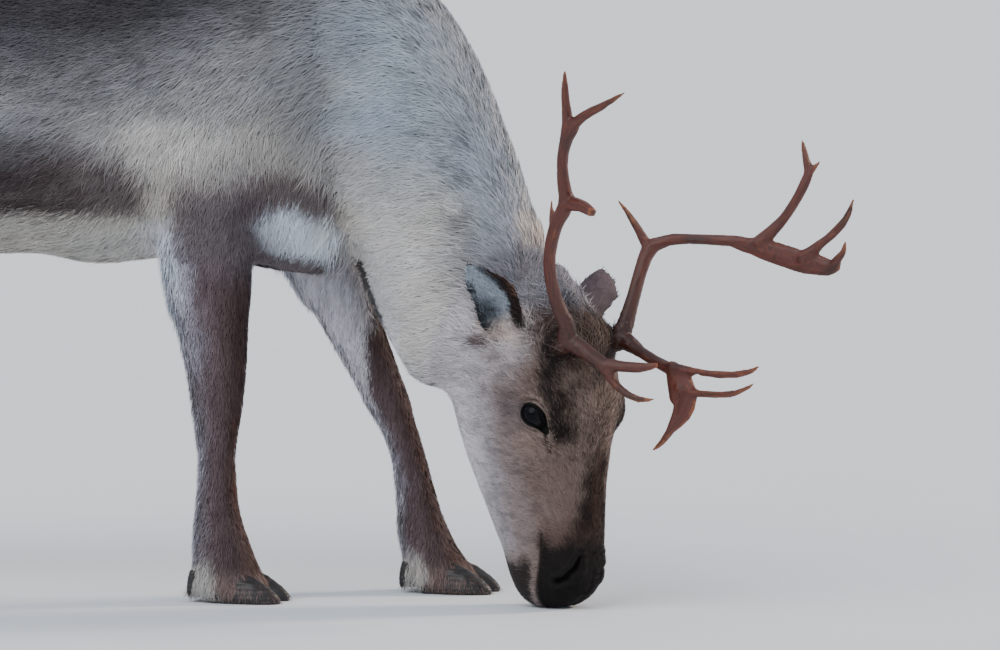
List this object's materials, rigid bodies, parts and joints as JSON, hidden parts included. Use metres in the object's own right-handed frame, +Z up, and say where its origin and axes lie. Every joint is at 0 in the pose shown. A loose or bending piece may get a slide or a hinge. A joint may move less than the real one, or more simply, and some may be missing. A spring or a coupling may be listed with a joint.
{
  "type": "reindeer",
  "caption": "Life-size reindeer in winter coat, standing on its hooves with the head lowered to graze, with branching hardened antlers.",
  "frame": {"origin": "on the floor, under the middle of the whole animal's box", "axes": "+X is the way the body faces, +Y is the animal's left, +Z is up"},
  "size_m": [1.8574, 0.5942, 0.957],
  "materials": {
    "coat_grey": "thick winter hair, grey on the flanks and darker grey brown on the back",
    "coat_pale": "long cream-white hair of the neck, mane and tail",
    "coat_brown": "short dark brown hair of the legs, paler behind",
    "coat_face": "short brown and grey hair of the face and ears",
    "antler": "hard reddish-brown antler, satin, with fine lengthwise grain",
    "hoof": "black horn with fine growth lines",
    "eye": "wet dark brown-black eye"
  },
  "bodies": {
    "root": {"head": "coat_face", "ear_right": "coat_face", "ear_left": "coat_face", "eye_right": "eye", "eye_left": "eye", "neck": "coat_pale", "trunk": "coat_grey", "tail": "coat_pale", "leg_front_right": "coat_brown", "leg_front_left": "coat_brown", "leg_hind_right": "coat_brown", "leg_hind_left": "coat_brown", "hoof_front_right_outer": "hoof", "hoof_front_right_inner": "hoof", "hoof_front_left_outer": "hoof", "hoof_front_left_inner": "hoof", "hoof_hind_right_outer": "hoof", "hoof_hind_right_inner": "hoof", "hoof_hind_left_outer": "hoof", "hoof_hind_left_inner": "hoof", "dewclaw_front_right_outer": "hoof", "dewclaw_front_right_inner": "hoof", "dewclaw_front_left_outer": "hoof", "dewclaw_front_left_inner": "hoof", "dewclaw_hind_right_outer": "hoof", "dewclaw_hind_right_inner": "hoof", "dewclaw_hind_left_outer": "hoof", "dewclaw_hind_left_inner": "hoof", "antler_right_beam": "antler", "antler_right_upper": "antler", "antler_right_tip_back": "antler", "antler_right_tip_front": "antler", "antler_right_front": "antler", "antler_right_brow": "antler", "antler_right_bez": "antler", "antler_left_beam": "antler", "antler_left_arm": "antler", "antler_left_tine_1": "antler", "antler_left_tine_2": "antler", "antler_left_front": "antler", "antler_left_shovel": "antler", "antler_left_shovel_up": "antler"}
  },
  "joints": []
}
